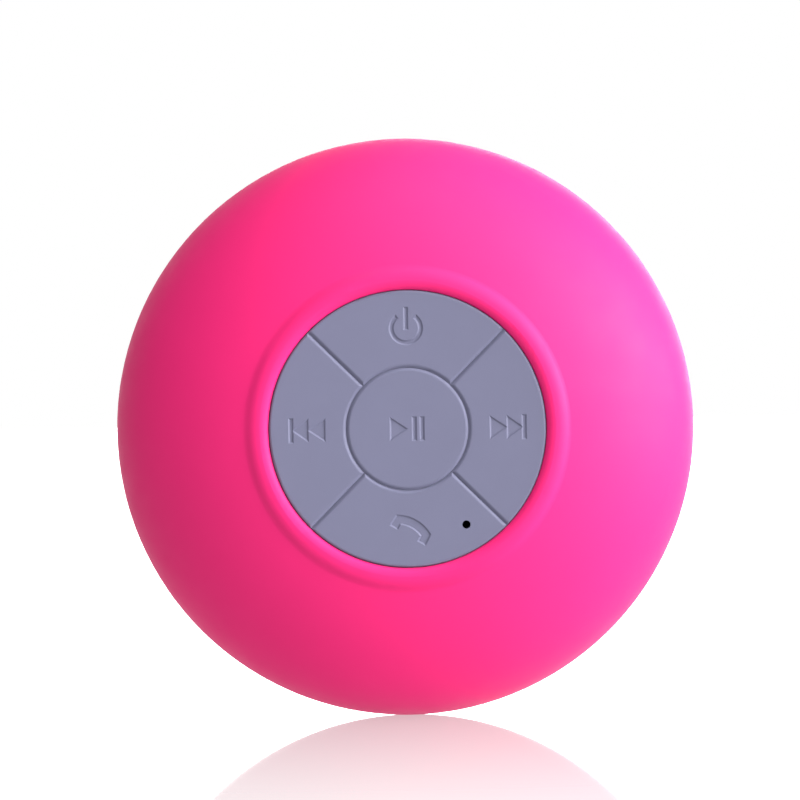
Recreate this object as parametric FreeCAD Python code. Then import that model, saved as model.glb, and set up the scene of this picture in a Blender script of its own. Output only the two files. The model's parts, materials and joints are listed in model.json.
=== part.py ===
import FreeCAD, Part
import math
import os

# A wall-held waterproof shower speaker: a bun-shaped body in a silicone jacket, a round keypad of five
# keys on its front, a sound grille on its back, and a suction cup that the body turns on.
#
# Build frame: X right, Y up, Z away from the wall, with the wall's face at Z = 0, all in millimetres.
# The parts are turned into the row frame, where the wall's face is Y = 0 and +Z is up, as they are saved.

V = FreeCAD.Vector

# ---- driving dimensions, in mm ----
BODY_RADIUS = 43.0          # widest radius of the jacket
FRONT_HEIGHT = 55.0         # crest of the collar above the wall
WIDEST_HEIGHT = 34.5        # where the body is widest
DOME_CENTRE_R = 8.0         # the dome's elliptical section is centred this far off the axis
DOME_RISE = 21.9            # the ellipse's half height
REAR_ARC = 16.0             # radius of the rear shoulder's section
REAR_FACE = 15.0            # height of the flat back
JACKET = 1.5                # silicone wall
WALL = 1.8                  # plastic wall
EASE = 0.05                 # air between fixed pieces that rest on each other

KEYPAD_RADIUS = 20.1
KEYPAD_TOP = 54.6
KEY_THICKNESS = 3.0
CENTRE_KEY_RADIUS = 8.9     # middle of the groove round the centre key
KEY_STEM_R = 14.0           # where the outer keys press their switches
GROOVE_WIDTH = 1.1          # at the keypad's face
GROOVE_FLOOR = 0.16
GROOVE_ROUND = 0.5          # radius of the groove's shoulders
GROOVE_SLOPE = 38.0         # how steep its sides are, in degrees
SLIT = 0.06                 # what parts one key from the next, at the bottom of the grooves
ICON_DEPTH = 0.16
ICON_DRAFT = 0.24           # how far each icon's outline shrinks from the face to its floor
LIP_RADIUS = 20.2           # inner edge of the jacket, round the keypad
CREST_RADIUS = 21.5         # top of the collar
COLLAR_RADIUS = 23.5        # where the collar's side meets the dome
COLLAR_FOOT_ROUND = 1.4     # how softly it does
MIC_RADIUS = 16.3
MIC_ANGLE = -59.4

MEMBRANE_TOP = 50.4
MEMBRANE = 0.7
SUPPORT = 1.5
SUPPORT_RADIUS = 24.0
BOARD_TOP = 45.9
BOARD = 1.6
BOARD_RADIUS = 29.0
SWITCH_SIDE = 4.5
SWITCH_HEIGHT = 1.5
PLUNGER_HEIGHT = 0.6
PLUNGER_TRAVEL = 0.25

PARTING = 26.0              # where the two housings meet
FLOOR = 1.6                 # wall of the flat back
TONGUE_R = 35.2             # inner radius of the rear housing's locating lip
TONGUE = 1.1                # the lip's thickness
SEAL_R = 37.7               # middle of the ring between the housings
HOUSING_SCREW_R = 26.6
SCREW_BOSS = 2.5            # outer radius of the screw bosses and sleeves
HOUSING_SCREW_ANGLES = (45, 135, 225, 315)
BOARD_SCREW_R = 27.0
BOARD_SCREW_ANGLES = (90, 210, 330)
DRIVER_SCREW_R = 24.2
DRIVER_SCREW_ANGLES = (60, 180, 300)

GRILLE_INNER = 10.8
GRILLE_OUTER = 18.4
GRILLE_SLOTS = 24
GRILLE_SLOT = 1.4

CUP_RADIUS = 33.2
CUP_SEAT_R = 31.0           # inner edge of the flat rim
CUP_DEPTH = 6.4             # how deep the cup is hollowed
CUP_NECK_R = 4.6
CUP_HEAD_R = 6.2
HUB_MOUTH = 12.5            # height of the socket's mouth above the wall
HUB_LIP = 1.5
SOCKET_R = 6.5
SOCKET_TOP = 18.6

DRIVER_FLANGE = 18.8        # rear face of the driver's flange
DRIVER_FLANGE_R = 22.5
COIL_R = 6.4
TOP_PLATE = 29.0
MAGNET = 32.0
BACK_PLATE = 38.0
MOTOR_TOP = 41.0
TAG_ANGLE = 100             # where the driver's wires are soldered

CELL_X = 25.0               # the battery's inner face
CELL = 5.2                  # its thickness
CELL_BOTTOM = 23.0
CELL_TOP = 41.6

PORT_R = 34.6               # middle of the charging port on the conical flank
PORT_DEPTH = 1.3            # recess that the port cover lies in
COVER_HINGE_X = 6.6
COVER_HINGE_Z = -0.87
KNUCKLE = 0.36              # radius of the round end that the port cover turns on

# ---- worked out from those ----
DOME_REACH = BODY_RADIUS - DOME_CENTRE_R
REAR_CENTRE_R = BODY_RADIUS - REAR_ARC
HALF_RIGHT = math.radians(45)
SHOULDER_R = REAR_CENTRE_R + REAR_ARC * math.cos(HALF_RIGHT)
SHOULDER_Z = WIDEST_HEIGHT - REAR_ARC * math.sin(HALF_RIGHT)
FLANK = SHOULDER_R - SHOULDER_Z                 # radius less height, along the 45 degree flank
REAR_RADIUS = FLANK + REAR_FACE
PORT_Z = PORT_R - FLANK
KEY_BOTTOM = KEYPAD_TOP - KEY_THICKNESS
SWITCH_TOP = BOARD_TOP + SWITCH_HEIGHT
PLUNGER_TOP = SWITCH_TOP + PLUNGER_HEIGHT
SUPPORT_TOP = MEMBRANE_TOP - MEMBRANE
SUPPORT_BOTTOM = SUPPORT_TOP - SUPPORT
BOARD_BOTTOM = BOARD_TOP - BOARD
HOUSING_INSET = JACKET + EASE
CAVITY_INSET = HOUSING_INSET + WALL
FLOOR_TOP = REAR_FACE + FLOOR
KEYS = {
    "play_pause": (0.0, 0.0),
    "power": (0.0, KEY_STEM_R),
    "previous": (-KEY_STEM_R, 0.0),
    "next": (KEY_STEM_R, 0.0),
    "call": (0.0, -KEY_STEM_R),
}

saved = []


# ---- drawing helpers ----
def polar(radius, degrees, height=0.0):
    """The point at that radius, angle and height."""
    angle = math.radians(degrees)
    return V(radius * math.cos(angle), radius * math.sin(angle), height)


def place(shape, angle=0.0, move=(0, 0, 0)):
    """A copy of shape, turned about the axis and then moved."""
    copy = shape.copy()
    copy.rotate(V(0, 0, 0), V(0, 0, 1), angle)
    copy.translate(V(*move))
    return copy


def around(shape, angles):
    """One copy of shape at each of those angles about the axis."""
    return [place(shape, angle) for angle in angles]


def fuse(shapes):
    """All the shapes as one, with no seams left between them."""
    first = shapes[0]
    return first.fuse(list(shapes[1:])).removeSplitter() if len(shapes) > 1 else first


def cylinder(radius, bottom, top, at=(0, 0)):
    """An upright cylinder between two heights."""
    return Part.makeCylinder(radius, top - bottom, V(at[0], at[1], bottom))


def tube(outer, inner, bottom, top, at=(0, 0)):
    """An upright tube between two heights."""
    return cylinder(outer, bottom, top, at).cut(cylinder(inner, bottom - 1, top + 1, at))


def block(x, y, z):
    """A box from its three (low, high) pairs."""
    return Part.makeBox(x[1] - x[0], y[1] - y[0], z[1] - z[0], V(x[0], y[0], z[0]))


def slot(x0, x1, half_width, bottom, top, y=0.0):
    """A block along X with round ends that reach x0 and x1."""
    middle = block((x0 + half_width, x1 - half_width), (y - half_width, y + half_width), (bottom, top))
    ends = [cylinder(half_width, bottom, top, (x, y)) for x in (x0 + half_width, x1 - half_width)]
    return fuse([middle] + ends)


class Outline:
    """A closed outline of (radius, height) points, drawn in the XZ plane and turned about the axis."""

    def __init__(self, r, z):
        self.first = V(r, 0, z)
        self.at = self.first
        self.edges = []

    def line(self, r, z):
        end = V(r, 0, z)
        self.edges.append(Part.makeLine(self.at, end))
        self.at = end
        return self

    def arc(self, middle, end):
        end = V(end[0], 0, end[1])
        self.edges.append(Part.Arc(self.at, V(middle[0], 0, middle[1]), end).toShape())
        self.at = end
        return self

    def along(self, edge, end):
        """Adds an edge made elsewhere, which ends at that point."""
        self.edges.append(edge)
        self.at = V(end[0], 0, end[1])
        return self

    def turned(self, degrees=360):
        if (self.at - self.first).Length > 1e-7:
            self.line(self.first.x, self.first.z)
        face = Part.Face(Part.Wire(self.edges))
        return face.revolve(V(0, 0, 0), V(0, 0, 1), degrees)


def flat_shape(steps):
    """A flat face from steps that each hold a line's end, or an arc's middle and end, as (x, y) points."""
    start = V(*steps[0][0], 0)
    at, edges = start, []
    for step in steps[1:] + [[steps[0][0]]]:
        end = V(*step[-1], 0)
        if len(step) == 2:
            edges.append(Part.Arc(at, V(*step[0], 0), end).toShape())
        elif (end - at).Length > 1e-7:
            edges.append(Part.makeLine(at, end))
        at = end
    return Part.Face(Part.Wire(edges))


def smooth_tube(points, radius):
    """A round wire along straight runs joined by tangent arcs."""
    points = [V(*p) for p in points]
    at, edges = points[0], []
    for before, corner, after in zip(points, points[1:], points[2:]):
        back, ahead = (before - corner), (after - corner)
        half_turn = (math.pi - back.getAngle(ahead)) / 2
        bend = 0.45 * min(back.Length, ahead.Length) / math.tan(half_turn)
        reach = bend * math.tan(half_turn)
        start, end = corner + back.normalize() * reach, corner + ahead.normalize() * reach
        inward = (start + end) * 0.5 - corner
        deep = bend / math.cos(half_turn) - bend
        edges.append(Part.makeLine(at, start))
        edges.append(Part.Arc(start, corner + inward.normalize() * deep, end).toShape())
        at = end
    edges.append(Part.makeLine(at, points[-1]))
    path = Part.Wire(edges)
    section = Part.Wire(Part.makeCircle(radius, points[0], points[1] - points[0]))
    return path.makePipeShell([section], True, False)


# ---- the body's section ----
def dome_z(r, inset=0.0):
    """Height of the dome, or of the surface that far inside it, at a radius."""
    share = (r - DOME_CENTRE_R) / (DOME_REACH - inset)
    return WIDEST_HEIGHT + (DOME_RISE - inset) * math.sqrt(max(0.0, 1 - share * share))


def dome_edge(r0, r1, inset=0.0):
    """The dome's section between two radii."""
    reach, rise = DOME_REACH - inset, DOME_RISE - inset
    centre = V(DOME_CENTRE_R, 0, WIDEST_HEIGHT)
    ellipse = Part.Ellipse(centre + V(reach, 0, 0), centre + V(0, 0, rise), centre)
    turns = sorted(math.acos(min(1.0, (r - DOME_CENTRE_R) / reach)) for r in (r0, r1))
    return ellipse.toShape(*turns)


def rear_point(degrees, inset=0.0):
    """(radius, height) on the rear shoulder, that many degrees past the widest line."""
    angle = math.radians(degrees)
    radius = REAR_ARC - inset
    return REAR_CENTRE_R + radius * math.cos(angle), WIDEST_HEIGHT - radius * math.sin(angle)


def rear_angle(height, inset=0.0):
    """Where on the rear shoulder a height lies, in degrees past the widest line."""
    return math.degrees(math.asin((WIDEST_HEIGHT - height) / (REAR_ARC - inset)))


# ---- the port's own frame: x up the body, y down the flank towards the back, z out of the flank ----
def at_port(shape):
    """Carries a shape from the port's frame to the build frame."""
    s = math.sqrt(0.5)
    frame = FreeCAD.Matrix(
        0, s, -s, -PORT_R,
        1, 0, 0, 0,
        0, -s, -s, PORT_Z,
        0, 0, 0, 1,
    )
    copy = shape.copy()
    copy.transformShape(frame)
    return copy


def flank_solid(proud=0.0):
    """Everything inside the flank's cone, or a little outside it."""
    low, high = 5.0, 40.0
    wide = FLANK + proud * math.sqrt(2)
    return Outline(0, low).line(wide + low, low).line(wide + high, high).line(0, high).turned()


# ---- the front ----
def silicone_jacket():
    """The soft outer skin, from its lip round the keypad, over the collar and dome, to the rear shoulder."""
    crest_r, foot_r = CREST_RADIUS, COLLAR_RADIUS
    lip_z = KEYPAD_TOP - 0.3
    jacket_end = 45 - math.degrees(0.15 / REAR_ARC)
    outer_end, inner_end = rear_point(jacket_end), rear_point(jacket_end, JACKET)
    housing_edge = LIP_RADIUS + 1.25
    inner_top = dome_z(housing_edge, JACKET)
    outline = Outline(LIP_RADIUS, MEMBRANE_TOP + EASE)
    outline.line(LIP_RADIUS, lip_z)
    outline.arc(crest_point(LIP_RADIUS, lip_z), (crest_r, FRONT_HEIGHT))
    outline.arc(crest_point(foot_r, dome_z(foot_r)), (foot_r, dome_z(foot_r)))
    outline.along(dome_edge(foot_r, BODY_RADIUS), (BODY_RADIUS, WIDEST_HEIGHT))
    outline.arc(rear_point(jacket_end / 2), outer_end)
    outline.line(*inner_end)
    outline.arc(rear_point(jacket_end / 2, JACKET), rear_point(0, JACKET))
    outline.along(dome_edge(housing_edge, BODY_RADIUS - JACKET, JACKET), (housing_edge, inner_top))
    outline.line(housing_edge, MEMBRANE_TOP + EASE)
    jacket = outline.turned()
    soft = [e for e in jacket.Edges if is_circle(e, foot_r, dome_z(foot_r))]
    jacket = jacket.makeFillet(COLLAR_FOOT_ROUND, soft)
    rear = [e for e in jacket.Edges if is_circle(e, *outer_end)]
    return jacket.makeFillet(0.45, rear)


def crest_point(end_r, end_z):
    """Half way round the arc that leaves the collar's crest level and ends at that radius and height."""
    across, down = end_r - CREST_RADIUS, FRONT_HEIGHT - end_z
    ball = (across * across + down * down) / (2 * down)
    turn = math.asin(across / ball) / 2
    return CREST_RADIUS + ball * math.sin(turn), FRONT_HEIGHT - ball * (1 - math.cos(turn))


def is_circle(edge, radius, height):
    """Whether an edge is the circle about the axis of that radius and height."""
    if not hasattr(edge.Curve, "Radius"):
        return False
    centre = edge.Curve.Center
    on_axis = abs(centre.x) + abs(centre.y) < 1e-6
    return on_axis and abs(centre.z - height) < 1e-4 and abs(edge.Curve.Radius - radius) < 1e-4


def front_housing():
    """The plastic shell under the jacket, with the bosses that the board and the rear housing screw to."""
    opening = LIP_RADIUS + 1.25 + EASE
    seat_r = SUPPORT_RADIUS + 0.6
    skin_end = rear_point(rear_angle(PARTING, HOUSING_INSET), HOUSING_INSET)
    lip_r = TONGUE_R + TONGUE + EASE
    lip_top = PARTING + 3.0
    wall_start = rear_point(rear_angle(lip_top + 1, CAVITY_INSET), CAVITY_INSET)
    wall_middle = rear_point(rear_angle(lip_top + 1, CAVITY_INSET) / 2, CAVITY_INSET)
    skin_r, wall_r = BODY_RADIUS - HOUSING_INSET, BODY_RADIUS - CAVITY_INSET
    outline = Outline(opening, MEMBRANE_TOP)
    outline.line(opening, dome_z(opening, HOUSING_INSET))
    outline.along(dome_edge(opening, skin_r, HOUSING_INSET), (skin_r, WIDEST_HEIGHT))
    outline.arc(rear_point(rear_angle(PARTING, HOUSING_INSET) / 2, HOUSING_INSET), skin_end)
    outline.line(lip_r, PARTING).line(lip_r, lip_top).line(*wall_start)
    outline.arc(wall_middle, (wall_r, WIDEST_HEIGHT))
    outline.along(dome_edge(seat_r, wall_r, CAVITY_INSET), (seat_r, dome_z(seat_r, CAVITY_INSET)))
    outline.line(seat_r, MEMBRANE_TOP)
    shell = outline.turned()
    board_boss = cylinder(SCREW_BOSS, BOARD_TOP + EASE, 60)
    screw_boss = cylinder(SCREW_BOSS, PARTING - 2 + EASE, 60)
    inside = dome_filled(HOUSING_INSET + 0.4)
    bosses = at_angles(board_boss, BOARD_SCREW_R, BOARD_SCREW_ANGLES, 0)
    bosses += at_angles(screw_boss, HOUSING_SCREW_R, HOUSING_SCREW_ANGLES, 0)
    housing = fuse([shell] + [boss.common(inside) for boss in bosses])
    pilots = at_angles(cylinder(0.7, 40, 49), BOARD_SCREW_R, BOARD_SCREW_ANGLES, 0)
    pilots += at_angles(cylinder(0.8, 20, 40), HOUSING_SCREW_R, HOUSING_SCREW_ANGLES, 0)
    ring_groove = tube(SEAL_R + 0.58, SEAL_R - 0.58, PARTING - 1, PARTING + 1.15)
    return housing.cut(pilots + [ring_groove])


def dome_filled(inset):
    """The whole space under the surface that far inside the dome."""
    wide = BODY_RADIUS - inset
    top = (DOME_CENTRE_R, WIDEST_HEIGHT + DOME_RISE - inset)
    outline = Outline(0, 10).line(wide, 10).line(wide, WIDEST_HEIGHT)
    outline.along(dome_edge(DOME_CENTRE_R, wide, inset), top)
    return outline.line(0, top[1]).turned()


def keypad_membrane():
    """The keypad's base sheet, clamped round its rim, with holes that the keys' stems pass through."""
    sheet = cylinder(SUPPORT_RADIUS, MEMBRANE_TOP - MEMBRANE + EASE, MEMBRANE_TOP)
    bead = tube(23.7, 22.9, MEMBRANE_TOP - MEMBRANE - 0.25, MEMBRANE_TOP - 0.2)
    holes = [cylinder(2.4, 40, 60, at) for at in KEYS.values()]
    holes.append(cylinder(0.8, 40, 60, polar(MIC_RADIUS, MIC_ANGLE)[:2]))
    return fuse([sheet, bead]).cut(fuse(holes))


def groove_side(sign, offset):
    """One side of a groove's section, from above the face down to its floor, in the XZ plane."""
    slope = math.radians(GROOVE_SLOPE)
    half, floor = GROOVE_WIDTH / 2, GROOVE_FLOOR / 2
    knee = (half - GROOVE_ROUND * math.sin(slope / 2), -GROOVE_ROUND * (1 - math.cos(slope / 2)))
    waist = (half - GROOVE_ROUND * math.sin(slope), -GROOVE_ROUND * (1 - math.cos(slope)))
    foot = (floor, waist[1] - (waist[0] - floor) * math.tan(slope))
    return [V(offset + sign * x, 0, KEYPAD_TOP + z) for x, z in ((half, 0.5), (half, 0), knee, waist, foot)]


def groove_face(offset):
    """A groove's round-shouldered section as a face, its middle at x = offset."""
    left, right = groove_side(-1, offset), groove_side(1, offset)
    edges = [
        Part.makeLine(left[0], left[1]),
        Part.Arc(left[1], left[2], left[3]).toShape(),
        Part.makeLine(left[3], left[4]),
        Part.makeLine(left[4], right[4]),
        Part.makeLine(right[4], right[3]),
        Part.Arc(right[3], right[2], right[1]).toShape(),
        Part.makeLine(right[1], right[0]),
        Part.makeLine(right[0], left[0]),
    ]
    return Part.Face(Part.Wire(edges))


def groove_cutters():
    """One ring groove and four straight ones, and the hairline slits at the bottom of each."""
    ring = groove_face(CENTRE_KEY_RADIUS).revolve(V(0, 0, 0), V(0, 0, 1), 360)
    straight = groove_face(0).extrude(V(0, KEYPAD_RADIUS + 1 - CENTRE_KEY_RADIUS, 0))
    straight.translate(V(0, CENTRE_KEY_RADIUS, 0))
    low, high = KEY_BOTTOM - 1, KEYPAD_TOP + 1
    ring_slit = tube(CENTRE_KEY_RADIUS + SLIT / 2, CENTRE_KEY_RADIUS - SLIT / 2, low, high)
    slit = block((-SLIT / 2, SLIT / 2), (CENTRE_KEY_RADIUS, KEYPAD_RADIUS + 1), (low, high))
    diagonals = (45, 135, 225, 315)
    return [ring] + around(straight, diagonals), [ring_slit] + around(slit, diagonals)


def triangle(base_x, tip_x, half_height):
    """A flat triangle that points along X."""
    return flat_shape([[(base_x, -half_height)], [(tip_x, 0)], [(base_x, half_height)]])


def bar(x0, x1, half_height):
    """A flat upright bar."""
    return flat_shape([[(x0, -half_height)], [(x1, -half_height)], [(x1, half_height)], [(x0, half_height)]])


def power_icon():
    """A ring that is open at the top, with an upright bar in the gap."""
    outer, inner, gap = 2.5, 1.75, 36.0
    ends = (90 - gap, 90 + gap)
    o0, o1 = polar(outer, ends[0]), polar(outer, ends[1])
    i0, i1 = polar(inner, ends[0]), polar(inner, ends[1])
    outside, inside = [(0, -outer), (o0.x, o0.y)], [(0, -inner), (i1.x, i1.y)]
    ring = flat_shape([[(o1.x, o1.y)], outside, [(i0.x, i0.y)], inside])
    stroke = flat_shape([[(-0.36, -0.3)], [(0.36, -0.3)], [(0.36, 3.1)], [(-0.36, 3.1)]])
    return [ring, stroke], (0, 14.6)


def play_pause_icon():
    """A triangle and two bars."""
    return [triangle(-2.6, 0.1, 1.8), bar(0.6, 1.36, 1.8), bar(1.72, 2.48, 1.8)], (0, 0)


def skip_icon(direction):
    """Two triangles against a bar, pointing left (-1) or right (+1)."""
    faces = [
        triangle(-2.7 * direction, 0.0, 1.8),
        triangle(-0.25 * direction, 2.3 * direction, 1.8),
        bar(min(1.94 * direction, 2.7 * direction), max(1.94 * direction, 2.7 * direction), 1.85),
    ]
    return faces, (14.6 * direction, 0)


def call_icon():
    """A telephone handset, seen from the side and tilted."""
    handset = flat_shape([
        [(-2.95, 0)], [(0, 0.82), (2.95, 0)], [(3.05, -1.86)], [(1.6, -1.86)], [(1.6, -1.0)],
        [(0, -0.66), (-1.6, -1.0)], [(-1.6, -1.86)], [(-3.05, -1.86)],
    ])
    handset.rotate(V(0, 0, 0), V(0, 0, 1), -30.7)
    return [handset], (0.65, -13.9)


def icon_pocket(icon):
    """The cutters that sink an icon into the keypad's face, each narrower at its floor than at the face."""
    faces, at = icon
    pockets = []
    for face in faces:
        floor = face.makeOffset2D(-ICON_DRAFT, 2).OuterWire
        above = face.makeOffset2D(ICON_DRAFT * 0.4, 2).OuterWire
        floor.translate(V(at[0], at[1], KEYPAD_TOP - ICON_DEPTH))
        above.translate(V(at[0], at[1], KEYPAD_TOP + ICON_DEPTH * 0.4))
        pockets.append(Part.makeLoft([floor, above], True, True))
    return pockets


def keys():
    """The five key tops, each with the stem that reaches down to its switch."""
    edge = 0.35
    corner = edge * (1 - math.sqrt(0.5))
    disc = Outline(0, KEY_BOTTOM).line(KEYPAD_RADIUS, KEY_BOTTOM).line(KEYPAD_RADIUS, KEYPAD_TOP - edge)
    disc.arc((KEYPAD_RADIUS - corner, KEYPAD_TOP - corner), (KEYPAD_RADIUS - edge, KEYPAD_TOP))
    grooves, slits = groove_cutters()
    icons = [power_icon(), play_pause_icon(), skip_icon(-1), skip_icon(1), call_icon()]
    pockets = [pocket for icon in icons for pocket in icon_pocket(icon)]
    mic_hole = cylinder(0.6, 40, 60, polar(MIC_RADIUS, MIC_ANGLE)[:2])
    face = disc.line(0, KEYPAD_TOP).turned().cut(grooves + slits + pockets + [mic_hole])
    made = {}
    for name, at in KEYS.items():
        nearest = min(face.Solids, key=lambda s: (s.CenterOfMass - V(at[0], at[1], s.CenterOfMass.z)).Length)
        stem = cylinder(2.0, PLUNGER_TOP + PLUNGER_TRAVEL, KEY_BOTTOM + 0.2, at)
        foot = [e for e in stem.Edges if is_low_rim(e, PLUNGER_TOP + PLUNGER_TRAVEL)]
        made[name] = nearest.fuse(stem.makeFillet(0.4, foot)).removeSplitter()
    return made


def is_low_rim(edge, height):
    """Whether an edge is a full circle at that height."""
    return hasattr(edge.Curve, "Radius") and abs(edge.BoundBox.ZMax - height) < 1e-6


def keypad_support():
    """The stiff plate under the membrane, held up by posts that stand on the main board."""
    plate = cylinder(SUPPORT_RADIUS, SUPPORT_BOTTOM, SUPPORT_TOP)
    post = cylinder(1.4, BOARD_TOP + EASE, SUPPORT_BOTTOM + 0.1, (19.5, 0))
    holes = [cylinder(2.35, 40, 60, at) for at in KEYS.values()]
    holes.append(cylinder(2.85, 40, 60, polar(MIC_RADIUS, MIC_ANGLE)[:2]))
    bead_groove = tube(23.8, 22.8, SUPPORT_TOP - 0.35, SUPPORT_TOP + 1)
    plate = plate.cut(holes + [bead_groove])
    return fuse([plate] + around(post, (30, 60, 120, 150, 210, 240, 330)))


# ---- the main board ----
def main_board():
    """The round circuit board, notched where the housing's long bosses pass it."""
    board = cylinder(BOARD_RADIUS, BOARD_BOTTOM, BOARD_TOP)
    notches = at_angles(cylinder(SCREW_BOSS + 0.4, 40, 50), HOUSING_SCREW_R, HOUSING_SCREW_ANGLES, 0)
    holes = at_angles(cylinder(1.0, 40, 50), BOARD_SCREW_R, BOARD_SCREW_ANGLES, 0)
    return board.cut(notches + holes)


def on_board(x, y, z_size, below=False):
    """A box on the board's upper face, or on its lower face, over those x and y ranges."""
    if below:
        return block(x, y, (BOARD_BOTTOM - z_size, BOARD_BOTTOM))
    return block(x, y, (BOARD_TOP, BOARD_TOP + z_size))


def switch_bodies():
    """The fixed square cases of the five tact switches."""
    half = SWITCH_SIDE / 2
    cases = []
    for x, y in KEYS.values():
        case = on_board((x - half, x + half), (y - half, y + half), SWITCH_HEIGHT)
        well = cylinder(1.25, SWITCH_TOP - PLUNGER_TRAVEL - 0.3, SWITCH_TOP + 1, (x, y))
        cases.append(case.cut(well))
    return cases


def switch_plunger(at):
    """The round button of one tact switch."""
    return cylinder(1.15, SWITCH_TOP - 0.25, PLUNGER_TOP, at)


def radio_module():
    """The wireless module: a small board under a metal can, below the main board."""
    board = on_board((-7, 9), (2, 17), 0.8, below=True)
    can = block((-6, 8), (3, 14), (BOARD_BOTTOM - 2.3, BOARD_BOTTOM - 0.8))
    return board.fuse(can).removeSplitter()


def chips():
    """The amplifier, the charge controller and the memory chip, below the main board."""
    return [
        on_board((-13, -8), (-10, -5), 1.2, below=True),
        on_board((-19, -15), (3, 6), 1.1, below=True),
        on_board((12, 16), (-8, -3), 1.0, below=True),
    ]


def capacitors():
    """Four small round capacitors, below the main board."""
    spots = ((-3, -12), (3, -12), (-3, -18), (3, -18))
    return [cylinder(2.0, BOARD_BOTTOM - 2.2, BOARD_BOTTOM, at) for at in spots]


def crystal():
    """The crystal's metal can, below the main board."""
    return slot(11.5, 16.5, 1.0, BOARD_BOTTOM - 1.0, BOARD_BOTTOM, y=9.0)


def mic_capsule():
    """The microphone, on the board under its hole in the keypad."""
    at = polar(MIC_RADIUS, MIC_ANGLE)[:2]
    return cylinder(2.0, BOARD_TOP, BOARD_TOP + 1.6, at).cut(cylinder(0.5, BOARD_TOP + 1.2, 60, at))


def mic_boot():
    """The rubber sleeve that leads sound from the keypad's hole to the microphone."""
    at = polar(MIC_RADIUS, MIC_ANGLE)[:2]
    sleeve = cylinder(2.7, BOARD_TOP + EASE, SUPPORT_TOP - EASE, at)
    return sleeve.cut([cylinder(2.05, 40, BOARD_TOP + 1.65, at), cylinder(0.8, 40, 60, at)])


def status_led():
    """The indicator's chip, on the board beside the microphone."""
    base = polar(MIC_RADIUS - 4.6, MIC_ANGLE)
    return on_board((base.x - 0.8, base.x + 0.8), (base.y - 0.4, base.y + 0.4), 0.6)


def sockets():
    """The three wire sockets under the board: for the driver, the battery and the charging port."""
    spots = ((-2.5, 20.5), (19, 0), (-22.5, 0))
    return [on_board((x - 1.8, x + 1.8), (y - 2.4, y + 2.4), 1.9, below=True) for x, y in spots]


# ---- screws ----
def screw(head_radius, head_height, shank_radius, length):
    """A cross-recessed screw that points down, with its head's underside at height 0."""
    head = cylinder(head_radius, 0, head_height)
    rim = [e for e in head.Edges if is_low_rim(e, head_height)]
    head = head.makeFillet(head_height * 0.35, rim)
    arm, width, deep = head_radius * 0.62, head_radius * 0.17, head_height * 0.6
    cross = [
        block((-arm, arm), (-width, width), (head_height - deep, head_height + 1)),
        block((-width, width), (-arm, arm), (head_height - deep, head_height + 1)),
    ]
    tip = shank_radius * 0.8
    shank = cylinder(shank_radius, tip - length, 0)
    point = Part.makeCone(shank_radius * 0.25, shank_radius, tip, V(0, 0, -length))
    return fuse([head.cut(cross), shank, point])


def flipped(shape):
    """The shape turned end for end, so that it points towards the front."""
    copy = shape.copy()
    copy.rotate(V(0, 0, 0), V(1, 0, 0), 180)
    return copy


def at_angles(shape, radius, angles, height):
    """One copy of shape at each angle, upright at that radius and height."""
    return [place(shape, angle, polar(radius, angle, height)) for angle in angles]


def housing_screws():
    """The four screws that close the housings, sunk in the back."""
    one = flipped(screw(1.9, 1.3, 0.75, 14))
    return at_angles(one, HOUSING_SCREW_R, HOUSING_SCREW_ANGLES, REAR_FACE + 1.9)


def board_screws():
    """The three screws that hold the main board and clamp the keypad."""
    return at_angles(flipped(screw(1.7, 1.1, 0.65, 4.4)), BOARD_SCREW_R, BOARD_SCREW_ANGLES, BOARD_BOTTOM)


def driver_screws():
    """The three screws that hold the driver to the rear housing."""
    return at_angles(screw(1.5, 0.9, 0.6, 3.2), DRIVER_SCREW_R, DRIVER_SCREW_ANGLES, DRIVER_FLANGE + 1)


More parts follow.
